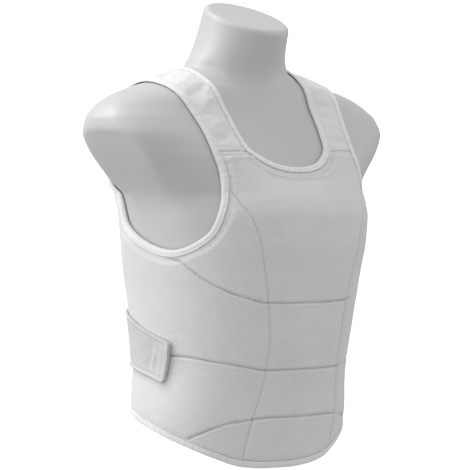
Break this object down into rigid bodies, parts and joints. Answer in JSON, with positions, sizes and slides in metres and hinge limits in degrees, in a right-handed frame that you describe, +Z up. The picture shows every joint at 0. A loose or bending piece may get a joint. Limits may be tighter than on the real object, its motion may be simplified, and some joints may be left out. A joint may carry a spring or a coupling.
{
  "type": "padded chest protector on a torso form",
  "caption": "Padded sleeveless karate chest protector with quilted front, scoop neck, shoulder straps and side closure straps, worn by a smooth limbless torso form",
  "frame": {"origin": "on the flat base of the torso form, at the centre of the bounding box seen from above", "axes": "+Z up, -Y towards the front of the chest, +X towards the wearer's left"},
  "size_m": [0.4856, 0.2498, 0.5877],
  "materials": {
    "form_shell": "smooth light grey, softly glossy",
    "panel_cloth": "matt off-white twill over foam",
    "strap_cloth": "thin matt off-white twill",
    "binding_tape": "matt off-white folded tape"
  },
  "bodies": {
    "root": {"torso_form": "form_shell", "front_center": "panel_cloth", "front_side_right": "panel_cloth", "front_side_left": "panel_cloth", "back_panel": "panel_cloth", "strap_right": "strap_cloth", "strap_left": "strap_cloth", "neck_binding": "binding_tape", "armhole_binding_right": "binding_tape", "armhole_binding_left": "binding_tape", "hem_binding": "binding_tape", "closure_strap_right": "strap_cloth", "closure_strap_left": "strap_cloth"}
  },
  "joints": []
}
